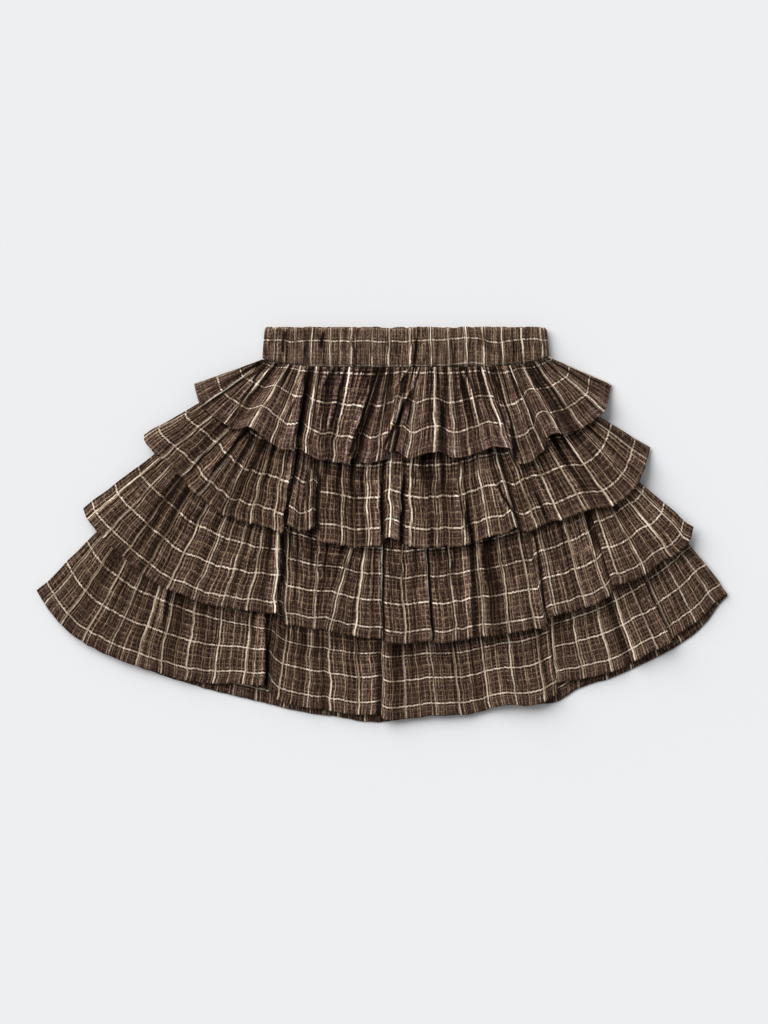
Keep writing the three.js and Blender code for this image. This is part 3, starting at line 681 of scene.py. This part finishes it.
# The ground's darkest and lightest threads, as shares of its colour
GROUND_RANGE = (0.75, 1.4)
SLUB_RANGE = (0.40, 0.62)
EDGE_COLOUR = (0.01, 0.005, 0.004, 1)
EDGE_SHARE = 0.4
# Brightness of the cloth by a measure of it: the measure's low and high, the brightness at each
# The crinkles, hollows and pinches are painted shade in their valleys and highlight on their crests
CRINKLE_SHADE = (0.36, 0.56, 0.55, 1.15)
WEAVE_SHADE = (0.4, 0.6, 0.6, 1.4)
HOLLOW_SHADE = (-0.5, 0.9, 1.2, 0.2)
PINCH_SHADE = (-0.8, 0.8, 1.75, 0.1)
# The smooth cream and tan yarns catch less of the weave and of the crinkles' painted shade,
# and take less painted highlight on a crest
CREAM_SMOOTH = 0.7
TAN_SMOOTH = 0.3
SMOOTHEST = 0.8
YARN_LIGHT = (1.15, 1.15, 1.15, 1)
BRIGHTEST = 1.55
YARN_DAMPING = 0.7
# Bumps of the weave and of the fine creases: strength, depth in metres
WEAVE_BUMP = (0.6, 0.0003)
CREASE_BUMP = (0.8, 0.0008)
COTTON_LOOKS = {
    "Roughness": 0.92,
    "Specular IOR Level": 0.08,
    "Sheen Weight": 0.03,
    "Sheen Roughness": 0.5,
}


def cotton(name, ground, settings, groups):
    """Checked crinkle cotton on one ground colour."""
    material, surface = new_material(name, COTTON_LOOKS)
    shade = Shade(material.node_tree)
    grain_map = shade.tree.nodes.new("ShaderNodeUVMap")
    grain_map.uv_map = "grain"
    grain = shade.scaled(grain_map.outputs[0], (1 / MM, 1 / MM, 0))
    check = shade.group(groups["check"], Grain=grain, Spread=shade.attribute("spread"))
    crinkle = shade.group(groups["crinkle"], Grain=grain)
    dark, light = ((*(c * share for c in ground), 1) for share in GROUND_RANGE)
    colour = shade.mix(shade.ramp(crinkle["Slub"], *SLUB_RANGE), dark, light)
    colour = shade.mix(shade.times(check["Edge"], EDGE_SHARE), colour, EDGE_COLOUR)
    colour = shade.mix(check["Tan"], colour, (*settings.tan, 1))
    colour = shade.mix(check["Cream"], colour, (*settings.cream, 1))
    # painted shade in the crinkles' valleys and painted highlight on their ridges, times the weave
    valley = shade.ramp(crinkle["Crinkle"], *CRINKLE_SHADE)
    crinkle_shade_and_weave = shade.warm(shade.times(valley, shade.ramp(crinkle["Weave"], *WEAVE_SHADE)))
    cream = shade.times(check["Cream"], CREAM_SMOOTH)
    yarns = shade.plus(cream, shade.times(check["Tan"], TAN_SMOOTH))
    crinkle_shade_and_weave = shade.mix(shade.math("MINIMUM", yarns, SMOOTHEST), crinkle_shade_and_weave, YARN_LIGHT)
    # painted shade in the hollows between folds, painted highlight where the cloth stands higher
    depth = shade.ramp(shade.attribute("painted_hollow_shade"), *HOLLOW_SHADE)
    # painted shade in the fine creases, scaled by the gather mark; they also dent the normal below
    crease_shade = shade.minus(1.0, shade.times(crinkle["Crease"], shade.attribute("gather")))
    # painted shade in pinches and crease valleys, painted highlight on crease crests
    painted_pinch_brightness = shade.ramp(shade.attribute("pinch_shade_and_highlight"), *PINCH_SHADE)
    painted_fold_light = shade.times(depth, shade.times(painted_pinch_brightness, crease_shade))
    # painted highlight is capped, lower on the cream and tan yarns
    brightest = shade.minus(BRIGHTEST, shade.times(yarns, YARN_DAMPING))
    painted_fold_light = shade.warm(shade.math("MINIMUM", painted_fold_light, brightest))
    # the colour times the weave with painted crinkle shade, then times the painted fold shade
    colour = shade.mix(1.0, colour, crinkle_shade_and_weave, "MULTIPLY")
    colour = shade.mix(1.0, colour, painted_fold_light, "MULTIPLY")
    shade.link(colour, surface.inputs["Base Color"])
    normal = shade.bump(crinkle["Crinkle"], 1.0, settings.crinkle_depth)
    normal = shade.bump(crinkle["Weave"], *WEAVE_BUMP, normal)
    normal = shade.bump(crease_shade, *CREASE_BUMP, normal)
    shade.link(normal, surface.inputs["Normal"])
    return material


def skirt_material(name):
    """One of the skirt's materials, made the first time it is asked for."""
    settings = bpy.context.scene.skirt
    label = "skirt_" + name
    made = bpy.data.materials.get(label)
    if made:
        return made
    if name == "thread":
        return new_material(label, {"Base Color": (*settings.thread, 1), "Roughness": 0.7})[0]
    groups = {
        "check": bpy.data.node_groups.get("Woven check") or check_group(),
        "crinkle": bpy.data.node_groups.get("Crinkle") or crinkle_group(),
    }
    ground = {
        "plaid_cotton": settings.ground,
        "top_ruffle_cotton": settings.top_ground,
        "waistband_cotton": settings.band_ground,
        "underskirt_cotton": settings.ground,
    }[name]
    return cotton(label, ground, settings, groups)


# Pieces


# Steps of the curve from one fold line to the next
CURVE_STEPS = 12


def ruffle_grid(seam, folds, rows):
    """The middle surface of a ruffle as packed, before it rests on anything: [across, down]."""
    folds = np.array(folds, dtype=float)
    v = np.linspace(0, 1, rows)[:, None]
    start = seam_down(seam, folds[:, 0]) + SEAM_GAP + SEAM_EASE
    x = folds[:, 0] * (1 - v) + folds[:, 1] * v
    down = start * (1 - v) + folds[:, 2] * v
    rise = folds[:, 3] * v**FOLD_ONSET
    rings = smooth_through(np.stack([x, down, rise], axis=-1), CURVE_STEPS)
    return rings.transpose(1, 0, 2)


# The small gathers, in mm along the hem from one to the next: those near the seam, those near the
# hem, the fine crinkles over both, and the broad waves under them
SEAM_GATHERS = 6.0
HEM_GATHERS = 5.5
CRINKLES = 3.4
WAVES = 13
# Their heights against each other, and how narrow the pinch's painted shade between two gathers is
GATHER_HEIGHT = 2.0
CRINKLE_HEIGHT = 0.6
WAVE_HEIGHT = 0.5
SEAM_PINCH = 0.2
HEM_PINCH = 0.13


def gathered(run, reach, look, seed):
    """The small gathers at a place: run along the hem, reach from seam (0) to hem (1).

    Gives their height and how sharply the cloth is pinched between two of them."""
    fade = (1 - reach) ** 1.3
    drift = 1.2 * wander(reach * 7 + run / 40, 1, seed + 5)
    first = np.abs(wander(run + drift, SEAM_GATHERS, seed))
    second = np.abs(wander(run + drift, HEM_GATHERS, seed + 1))
    turn = 0.5 - 0.5 * np.cos(np.pi * np.clip(reach * 1.3, 0, 1))
    ridge = first**0.65 * (1 - turn) + second**0.75 * turn
    stray = 1.5 * wander(reach * 12, 1, seed + 3)
    crinkle = np.abs(wander(run + stray, CRINKLES, seed + 2)) ** 0.8
    wave = 0.5 + 0.5 * wander(run, WAVES, seed + 4)
    height = GATHER_HEIGHT * ridge * (0.2 + 0.8 * fade)
    height = height + CRINKLE_HEIGHT * crinkle + WAVE_HEIGHT * wave * (1 - reach * 0.5)
    length = 1.15 + 0.75 * wander(run, 9, seed + 8)
    # the pinch is painted as shade, not made in the mesh
    pinch_shade_and_highlight = bell(first, SEAM_PINCH) * np.clip(1.1 - reach / np.maximum(length, 0.2), 0, 1)
    pinch_shade_and_highlight = np.maximum(pinch_shade_and_highlight, 0.6 * bell(second, HEM_PINCH) * (0.35 + 0.65 * fade))
    return look * height, look * pinch_shade_and_highlight


# A crease strays from its straight line by this much, in mm, and fades out over its last mm
CREASE_STRAY = 0.8
CREASE_END = 7
# Its crest lies beside its valley, this many widths away
CREST_ASIDE = 1.8


def creased(x, down, tier):
    """How deep a ruffle's front is creased at each place, from a crest (-1) to a valley (1)."""
    total = np.zeros_like(x)
    for x0, down0, x1, down1, width, depth in CREASES[tier]:
        along = np.array([x1 - x0, down1 - down0])
        length = np.hypot(*along)
        run = ((x - x0) * along[0] + (down - down0) * along[1]) / length
        bend = CREASE_STRAY * wander(run, 9, int(100 * width + abs(x0)))
        aside = ((x - x0) * along[1] - (down - down0) * along[0]) / length + bend
        ends = np.clip(np.minimum(run, length - run) / CREASE_END + 0.3, 0, 1)
        crest = bell(aside + CREST_ASIDE * width, width)
        valley = bell(aside, width)
        total = np.where(valley > crest, np.maximum(total, depth * ends * valley), total)
        total = np.where((total < 0.1) & (crest > 0.1), -depth * ends * crest, total)
    return total


# The turned hem: how much thicker it makes the cloth, how soft its step is, in mm, and how much
# its stitching flattens the gathers, over a groove this wide
HEM_THICKER = 0.8
HEM_STEP = 0.8
GROOVE_FLATTENS = 0.6
GROOVE_WIDTH = 1.3
# The gathers of the back are pressed flat
BACK_GATHERS = 0.4
# How far the cloth is closed up or opened out at most, for the width of the check's lines
SPREAD_RANGE = (0.6, 3)
# Columns at each side edge that the stitching leaves out
STITCH_INSET = 3
# Each ruffle is cut from its own place on the check: mm along it for each step of the seed
CLOTH_OFFSET = 37


def sew_ruffle(name, bed, tier, folds, settings, front):
    """Sews one ruffle as a thin shell with a doubled hem and returns it with its hem's line."""
    first_line, check, look, length = RUFFLES[tier]
    rows = settings.rows if front else settings.rows // 2
    spacing = settings.column if front else 2 * settings.column
    grid = even_steps(ruffle_grid(SEAMS[tier], folds, rows), spacing)
    x, down, rise = grid[..., 0], grid[..., 1], np.maximum(grid[..., 2], 0)
    seed = 10 * tier + (0 if front else 5)
    run = np.broadcast_to(run_length(grid[:, -1:], 0), x.shape)
    fall = np.linspace(0, 1, x.shape[1])[None, :]
    x = x + 2 * settings.waver * fall * wander(fall * 8 + run / 60, 1, seed + 6)
    waver = settings.waver * (0.5 + 2 * look**3)
    down = down + waver * fall * wander(run, 6, seed + 7)
    flat = np.stack([x, -down, rise], axis=-1)
    drop = run_length(flat[:, ::-1], 1)[:, ::-1]
    reach = 1 - drop / np.maximum(drop[:, :1], 1)
    small, pinch_shade_and_highlight = gathered(run, reach, look, seed)
    small = small * settings.gather
    if front:
        crease = creased(x, down, tier)
        small = small - CREASE_DENT * crease
        # a crease's valley gets painted shade and its crest painted highlight, besides its dent
        crest = 0.5 * np.minimum(pinch_shade_and_highlight, 0.3) + crease
        pinch_shade_and_highlight = np.where(crease < 0, crest, np.maximum(pinch_shade_and_highlight, crease))
    hem = np.clip((settings.hem - drop) / HEM_STEP, 0, 1)
    small = small * (1 - GROOVE_FLATTENS * bell(drop - settings.hem, GROOVE_WIDTH))
    level = bed.at(x, -down) + SEAM_GAP + CLOTH_WALL / 2
    height = level + rise + (small if front else BACK_GATHERS * small)
    middle = np.stack([x, -down, height], axis=-1)
    thickness = settings.cloth * (1 + HEM_THICKER * hem)
    run_down = drop + (length - drop[:, :1]) * (1 - reach) ** 2
    v = (run_down - first_line) / check * UV_CHECK
    spread = blurred(np.linalg.norm(np.gradient(flat, axis=0), axis=-1), 4) / spacing
    # painted shade of fine creases and pinches, painted highlight on crease crests; the lines'
    # spread
    marks = {
        "gather": np.clip(0.95 - 0.6 * reach, 0, 1) * min(look + 0.1, 1),
        "pinch_shade_and_highlight": pinch_shade_and_highlight,
        "spread": np.clip(spread, *SPREAD_RANGE),
    }
    piece = write_shell(name, middle, thickness, run + CLOTH_OFFSET * seed, v, marks)
    material = "top_ruffle_cotton" if tier == 0 and front else "plaid_cotton"
    piece.data.materials.append(skirt_material(material))
    # the hem is stitched on the side that shows
    at_hem = np.abs(drop - settings.hem).argmin(axis=1)
    i = np.arange(len(grid))
    outwards = settings.cloth / 2 if front else -settings.cloth / 2
    line = middle[i, at_hem] + grid_normals(middle)[i, at_hem] * outwards
    line[:, 2] = np.maximum(line[:, 2], settings.thread_radius)
    return piece, line[STITCH_INSET:-STITCH_INSET]


def declare_ruffle(piece, tier, front):
    side = "front" if front else "back"
    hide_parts(f"tier{tier + 1}_{side}")
    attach(piece, "root")


def stitch_tree():
    """Geometry nodes that sew a line of even stitches along a line of edges."""
    tree = bpy.data.node_groups.new("Stitches", "GeometryNodeTree")
    socket = tree.interface.new_socket
    # the settings replace these sizes, which are in metres
    socket("Line", in_out="INPUT", socket_type="NodeSocketGeometry")
    for label, value in (("Pitch", 0.0032), ("Length", 0.0024), ("Thread", 0.0002)):
        socket(label, in_out="INPUT", socket_type="NodeSocketFloat").default_value = value
    socket("Material", in_out="INPUT", socket_type="NodeSocketMaterial")
    socket("Stitches", in_out="OUTPUT", socket_type="NodeSocketGeometry")
    new = tree.nodes.new
    given, result = new("NodeGroupInput"), new("NodeGroupOutput")
    curve = new("GeometryNodeMeshToCurve")
    even = new("GeometryNodeResampleCurve")
    even.mode = "LENGTH"
    tangent = new("GeometryNodeInputTangent")
    turn = new("FunctionNodeAlignRotationToVector")
    turn.axis = "Z"
    thread = new("GeometryNodeMeshCylinder")
    thread.fill_type = "TRIANGLE_FAN"
    thread.inputs["Vertices"].default_value = 6
    place = new("GeometryNodeInstanceOnPoints")
    real = new("GeometryNodeRealizeInstances")
    finish = new("GeometryNodeSetMaterial")
    for source, output, target, entry in (
        (given, "Line", curve, "Mesh"),
        (curve, "Curve", even, "Curve"),
        (given, "Pitch", even, "Length"),
        (given, "Length", thread, "Depth"),
        (given, "Thread", thread, "Radius"),
        (tangent, "Tangent", turn, "Vector"),
        (even, "Curve", place, "Points"),
        (thread, "Mesh", place, "Instance"),
        (turn, "Rotation", place, "Rotation"),
        (place, "Instances", real, "Geometry"),
        (real, "Geometry", finish, "Geometry"),
        (given, "Material", finish, "Material"),
        (finish, "Geometry", result, "Stitches"),
    ):
        tree.links.new(source.outputs[output], target.inputs[entry])
    return tree


def sew_stitches(name, line):
    """Stitches along a line of points in millimetres on the skirt's pattern."""
    points = line * MM + ORIGIN
    mesh = bpy.data.meshes.new(name + "_line")
    edges = [(k, k + 1) for k in range(len(line) - 1)]
    mesh.from_pydata([tuple(point) for point in points], edges, [])
    guide = place_object(name + "_line", mesh)
    tree = bpy.data.node_groups.get("Stitches") or stitch_tree()
    settings = bpy.context.scene.skirt
    modifier = guide.modifiers.new("Stitches", "NODES")
    modifier.node_group = tree
    values = {
        "Pitch": settings.stitch_pitch * MM,
        "Length": settings.stitch_length * MM,
        "Thread": settings.thread_radius * MM,
        "Material": skirt_material("thread"),
    }
    for item in tree.interface.items_tree:
        if item.in_out == "INPUT" and item.name in values:
            modifier[item.identifier] = values[item.name]
    guide.update_tag()
    evaluated = guide.evaluated_get(bpy.context.evaluated_depsgraph_get())
    sewn = bpy.data.meshes.new_from_object(evaluated)
    sewn.name = name
    piece = place_object(name, sewn)
    bpy.data.objects.remove(guide)
    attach(piece, "root")
    return piece


# Painted shade of the waistband's deep gathers, which are not in the mesh:
# place along it, depth of its top and bottom, width, darkness
BAND_SLITS = [
    (-79.6, 2, 18, 0.9, 1.8),
    (-62, 12, 28, 0.8, 0.7),
    (-48.4, 2, 15, 0.9, 1.6),
    (-21, 12, 28, 0.8, 0.6),
    (4, 2, 14, 0.8, 0.6),
    (27.2, 7, 30, 0.9, 1.6),
    (58, 10, 28, 0.8, 0.7),
    (83, 3, 16, 0.8, 0.6),
    (106, 8, 26, 0.9, 0.8),
]
# They lean by this share of their length and fade out over their last mm
SLIT_LEAN = 0.12
SLIT_END = 3
# The wall puffs up between the casing's folded edges, each rounded over this many mm
BAND_PUFF = 0.45
BAND_EDGE = 1.6
# Its gathers, in mm from one to the next: at the top, more of them below, and tucks between them
TOP_GATHERS = 5.2
LOW_GATHERS = 3.1
TUCKS = 2.6
# One repeat of the check along the gathered waistband, in mm, and its first line's height
BAND_CHECK = 15.5
BAND_FIRST_LINE = 11.4
# How strongly its fine creases get painted shade, its lines' spread, and its hollows' painted shade
BAND_GATHER = 0.7
BAND_SPREAD = 0.75
BAND_HOLLOW = 0.4


def sew_waistband(settings):
    """The elasticated casing, a ring pressed flat with its wall swept round it."""
    left, right = BAND_LEFT, BAND_RIGHT
    end = BAND_THICKNESS / 2
    middle = (left + right) / 2
    core = end - BAND_WALL / 2
    straight = right - left - 2 * end
    turn = math.pi * core
    around = 2 * (straight + turn)
    count = int(around / settings.band_column)
    s = np.arange(count) * around / count
    # along the upper wall from right to left, round, back under and round again
    upper = np.clip(s, 0, straight)
    lower = np.clip(s - straight - turn, 0, straight)
    bend = np.clip(s - straight, 0, turn) / turn + np.clip(s - 2 * straight - turn, 0, turn) / turn
    angle = np.pi / 2 + np.pi * bend
    out_x, out_z = np.cos(angle), np.sin(angle)
    path_x = right - end - upper + lower + core * out_x
    path_z = end + core * out_z
    # the wall's own outline, from its lower edge up the outside and down the inside
    up = np.linspace(1, 0, settings.band_rows)
    share = np.concatenate([up, up[::-1]])
    side = np.concatenate([np.ones(len(up)), -np.ones(len(up))])
    puff = (1 - np.abs(2 * share - 1) ** 6) * BAND_PUFF + (1 - BAND_PUFF)
    edge = np.minimum(share, 1 - share) * BAND_HEIGHT
    puff = puff * np.sqrt(np.clip(edge / BAND_EDGE, 0.02, 1))
    s, share = s[:, None], share[None, :]
    ridge = np.abs(wander(s, TOP_GATHERS, 91)) * (1 - 0.35 * share)
    ridge = ridge + 0.35 * np.abs(wander(s, LOW_GATHERS, 92)) * share
    tuck = 0.5 + 0.5 * wander(s + 2 * wander(share * 3, 1, 95), TUCKS, 93)
    ripple = settings.band_ripple * (1.1 * ridge + 0.35 * tuck - 0.45)
    reach = (BAND_WALL / 2) * puff * side + ripple * (side > 0) * puff
    x = path_x[:, None] + out_x[:, None] * reach
    z = path_z[:, None] + out_z[:, None] * reach
    narrow = 1 - (BAND_TAPER / ((right - left) / 2)) * (1 - share)
    wavy = (0.9 * wander(s, 9, 94) + 0.4 * wander(s, 3, 90)) * np.clip(1 - 5 * share, 0, 1)
    down = np.maximum(seam_down(SEAMS[0], x) * share + 0.5 + wavy, 0)
    points = np.stack([middle + (x - middle) * narrow, -down, np.maximum(z, 0)], axis=-1)
    n, m = points.shape[:2]
    i, j = np.arange(n)[:, None], np.arange(m)[None, :]
    i_next, j_next = (i + 1) % n, (j + 1) % m
    corners = [i * m + j, i_next * m + j, i_next * m + j_next, i * m + j_next]
    faces = np.stack(corners, axis=-1).reshape(-1, 4)
    u = np.broadcast_to(s * UV_CHECK / BAND_CHECK + 4 * wander(s, 21, 96), (n, m))
    v = BAND_FIRST_LINE - 1.1 * seam_down(SEAMS[0], path_x)[:, None] * share
    v = v + 0.8 * wander(s, 7, 97) + 2.4 * wander(s, 34, 98)
    grain = np.stack([u, v], axis=-1).reshape(-1, 2)
    fall = share * BAND_HEIGHT
    # painted shade down the deep gathers
    painted_slit_shade = np.zeros((n, m))
    for place, top, bottom, width, depth in BAND_SLITS:
        within = np.clip((fall - top) / SLIT_END, 0, 1)
        within = within * np.clip((bottom - fall) / SLIT_END, 0, 1)
        lean = SLIT_LEAN * (fall - top) + 0.5 * wander(fall + 7 * abs(place), 4, 89)
        painted_slit_shade = painted_slit_shade + depth * within * bell(path_x[:, None] - place + lean, width)
    # painted shade in the band's hollows, fine creases and deep gathers, and its lines' spread
    marks = {
        "painted_hollow_shade": np.where(side > 0, BAND_HOLLOW * hollows(ripple), 0.0).ravel(),
        "gather": np.full(n * m, BAND_GATHER),
        "pinch_shade_and_highlight": painted_slit_shade.ravel(),
        "spread": np.full(n * m, BAND_SPREAD),
    }
    piece = write_mesh("waistband_visual", points.reshape(-1, 3), faces, grain, marks)
    piece.data.materials.append(skirt_material("waistband_cotton"))
    row = int(np.argmin(np.abs(up - (1 - settings.band_stitch / BAND_HEIGHT))))
    normal = np.stack([out_x, 0 * out_x, out_z], axis=-1)
    line = points[:, row] + normal * settings.thread_radius * 0.3
    line[:, 2] = np.maximum(line[:, 2], settings.thread_radius)
    thread = sew_stitches("waistband_stitches", np.concatenate([line, line[:1]]))
    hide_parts("waistband")
    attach(piece, "root")
    return piece


# Columns of the underskirt, and its rows from one seam to the next
BASE_COLUMNS = 90
BASE_ROWS = 15


def sew_base(name, node, level, settings):
    """One side of the plain underskirt, from the waistband to the last ruffle's seam."""
    t = np.linspace(0, 1, BASE_COLUMNS)
    lines = []
    for k, seam in enumerate(SEAMS):
        x = seam[0] + (seam[2] - seam[0]) * t
        lap = 2 * SEAM_GAP if k == 0 else SEAM_LAP if k == len(SEAMS) - 1 else 0
        lines.append(np.stack([x, seam_down(seam, x) + lap], axis=-1))
    columns = []
    for first, second in zip(lines, lines[1:]):
        shares = np.linspace(0, 1, BASE_ROWS + 1)[:-1]
        columns += [first + (second - first) * share for share in shares]
    columns.append(lines[-1])
    grid = np.stack(columns, axis=1)
    x, down = grid[..., 0], grid[..., 1]
    ease = 0.2 * (1 + wander(x, 12, 61)) * np.sin(np.pi * np.linspace(0, 1, x.shape[1]))[None, :]
    middle = np.stack([x, -down, level + ease], axis=-1)
    thickness = np.full(x.shape, settings.cloth)
    piece = write_shell(name, middle, thickness, x, lines[-1][:, 1].max() - down)
    piece.data.materials.append(skirt_material("underskirt_cotton"))
    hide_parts(node)
    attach(piece, "root")
    return piece


def beds():
    """What each piece is laid on: a height map for a ruffle, one level for an underskirt side."""
    laid = HeightMap()
    found = {}
    for tier in range(4):
        found[f"tier{tier + 1}_back"] = laid.bed()
        laid.lay_down(f"tier{tier + 1}_back")
    for side in ("back", "front"):
        found[f"base_{side}"] = laid.laid.max() + SEAM_GAP + CLOTH_WALL / 2
        laid.lay_down(f"base_{side}")
    for tier in (3, 2, 1, 0):
        found[f"tier{tier + 1}_front"] = laid.bed()
        laid.lay_down(f"tier{tier + 1}_front")
    return found


def millimetres(name, description, default):
    return FloatProperty(name=name, description=f"{description}, mm", default=default)


def tint(name, description, default):
    return FloatVectorProperty(
        name=name, description=description, default=default, subtype="COLOR"
    )


class SkirtSettings(bpy.types.PropertyGroup):
    rows: IntProperty(name="Rows", description="Rows of faces from seam to hem", default=64)
    column: millimetres("Column", "Width of a column of faces at the hem", 1.0)
    cloth: millimetres("Cloth", "Thickness of the crinkled cotton", 0.5)
    gather: millimetres("Gathers", "Height of the small gathers", 0.8)
    waver: millimetres("Waver", "How far edges stray from their line", 0.5)
    hem: millimetres("Hem", "Depth of the turned hem", 6.5)
    crinkle_depth: FloatProperty(
        name="Crinkle", description="Depth of the finest crinkles", default=0.0012, unit="LENGTH"
    )
    band_column: millimetres("Band column", "Width of the waistband's faces", 0.8)
    band_rows: IntProperty(
        name="Band rows", description="Rows of faces on one side of the waistband", default=30
    )
    band_ripple: millimetres("Elastic", "Height of the waistband's gathers", 1.5)
    band_stitch: millimetres("Band stitch", "Height of the waistband's stitching", 2.0)
    stitch_pitch: millimetres("Pitch", "From one stitch to the next", 3.2)
    stitch_length: millimetres("Stitch", "Length of a stitch", 2.4)
    thread_radius: millimetres("Thread", "Radius of the thread", 0.2)
    ground: tint("Ground", "Ground of the cloth", (0.0665, 0.0362, 0.0282))
    top_ground: tint("Top ruffle", "Ground of the top ruffle", (0.0745, 0.0390, 0.0345))
    band_ground: tint("Waistband", "Ground of the waistband", (0.105, 0.0650, 0.0490))
    cream: tint("Cream", "Cream lines of the check", (0.87, 0.74, 0.60))
    tan: tint("Tan", "Tan lines of the check", (0.46, 0.325, 0.21))
    thread: tint("Thread colour", "Sewing thread", (0.10, 0.07, 0.05))
    floor: tint("Floor", "Floor under the skirt", (0.872, 0.880, 0.897))
    key: FloatProperty(
        name="Key", description="Strength of the light from the upper left", default=4.12
    )
    fill: FloatProperty(
        name="Fill", description="Strength of the light from all round", default=0.30
    )


def sew_side(settings, front):
    side = "front" if front else "back"
    tables = FRONT_FOLDS if front else BACK_FOLDS
    found = beds()
    for tier in (3, 2, 1, 0) if front else (0, 1, 2, 3):
        node = f"tier{tier + 1}_{side}"
        piece, line = sew_ruffle(
            f"{node}_visual", found[node], tier, tables[tier], settings, front
        )
        thread = sew_stitches(f"{node}_stitches", line)
        declare_ruffle(piece, tier, front)


class SKIRT_OT_front(bpy.types.Operator):
    """Sews the four ruffles of the front"""

    bl_idname = "skirt.front"
    bl_label = "Front ruffles"

    def execute(self, context):
        sew_side(context.scene.skirt, True)
        return {"FINISHED"}


class SKIRT_OT_back(bpy.types.Operator):
    """Sews the four ruffles of the back"""

    bl_idname = "skirt.back"
    bl_label = "Back ruffles"

    def execute(self, context):
        sew_side(context.scene.skirt, False)
        return {"FINISHED"}


class SKIRT_OT_underskirt(bpy.types.Operator):
    """Sews both sides of the plain underskirt"""

    bl_idname = "skirt.underskirt"
    bl_label = "Underskirt"

    def execute(self, context):
        settings = context.scene.skirt
        found = beds()
        for side, below in (("back", "tier4_back_visual"), ("front", "base_back_visual")):
            node = f"base_{side}"
            piece = sew_base(f"{node}_visual", node, found[node], settings)
        return {"FINISHED"}


class SKIRT_OT_waistband(bpy.types.Operator):
    """Sews the elasticated waistband"""

    bl_idname = "skirt.waistband"
    bl_label = "Waistband"

    def execute(self, context):
        sew_waistband(context.scene.skirt)
        return {"FINISHED"}


# The stage, in metres and degrees; the film size is in millimetres
FLOOR_REACH = 6.0
FLOOR_LEVEL = -0.0002
SUN_WIDTH = 60
SUN_FROM = (-0.85, 0.9, 0.75)
CAMERA_PLACE = (0.0008, 0.010, 3.0)
VIEW_HALF_HEIGHT = 0.4096
FILM_SIZE = 36


class SKIRT_OT_stage(bpy.types.Operator):
    """Lays the white floor, and sets the lights and the camera"""

    bl_idname = "skirt.stage"
    bl_label = "Stage"

    def execute(self, context):
        settings = context.scene.skirt
        scene = context.scene
        mesh = bpy.data.meshes.new("floor")
        corners = ((-1, -1), (1, -1), (1, 1), (-1, 1))
        corners = [(x * FLOOR_REACH, y * FLOOR_REACH, FLOOR_LEVEL) for x, y in corners]
        mesh.from_pydata(corners, [], [(0, 1, 2, 3)])
        floor = place_object("floor", mesh)
        looks = {"Base Color": (*settings.floor, 1), "Roughness": 0.9, "Specular IOR Level": 0}
        mesh.materials.append(new_material("white_floor", looks)[0])

        world = bpy.data.worlds.new("studio")
        world.use_nodes = True
        light = world.node_tree.nodes["Background"].inputs
        light["Color"].default_value = (1, 1, 1, 1)
        light["Strength"].default_value = settings.fill
        scene.world = world

        lamp = bpy.data.lights.new("key", "SUN")
        lamp.energy = settings.key
        lamp.angle = math.radians(SUN_WIDTH)
        sun = place_object("key", lamp)
        sun.rotation_euler = Vector(SUN_FROM).to_track_quat("Z", "Y").to_euler()

        lens = bpy.data.cameras.new("camera")
        lens.sensor_width = FILM_SIZE
        lens.lens = FILM_SIZE / 2 * CAMERA_PLACE[2] / VIEW_HALF_HEIGHT
        lens.clip_end = 20
        camera = place_object("camera", lens)
        camera.location = CAMERA_PLACE
        scene.camera = camera
        scene.view_settings.view_transform = "Standard"
        return {"FINISHED"}


class SKIRT_PT_panel(bpy.types.Panel):
    """Settings and steps of the skirt"""

    bl_label = "Tiered ruffle skirt"
    bl_idname = "SKIRT_PT_panel"
    bl_space_type = "VIEW_3D"
    bl_region_type = "UI"
    bl_category = "Skirt"

    def draw(self, context):
        settings = context.scene.skirt
        for name in settings.bl_rna.properties.keys():
            if name not in ("rna_type", "name"):
                self.layout.prop(settings, name)
        for step in STEPS:
            self.layout.operator(step.bl_idname)


STEPS = (SKIRT_OT_back, SKIRT_OT_underskirt, SKIRT_OT_front, SKIRT_OT_waistband, SKIRT_OT_stage)
CLASSES = (SkirtSettings, *STEPS, SKIRT_PT_panel)


def register():
    for cls in CLASSES:
        bpy.utils.register_class(cls)
    bpy.types.Scene.skirt = PointerProperty(type=SkirtSettings)


def unregister():
    del bpy.types.Scene.skirt
    for cls in reversed(CLASSES):
        bpy.utils.unregister_class(cls)


def main():
    register()
    bpy.ops.skirt.underskirt()
    bpy.ops.skirt.back()
    bpy.ops.skirt.front()
    bpy.ops.skirt.waistband()
    bpy.ops.skirt.stage()


if __name__ == "__main__":
    main()
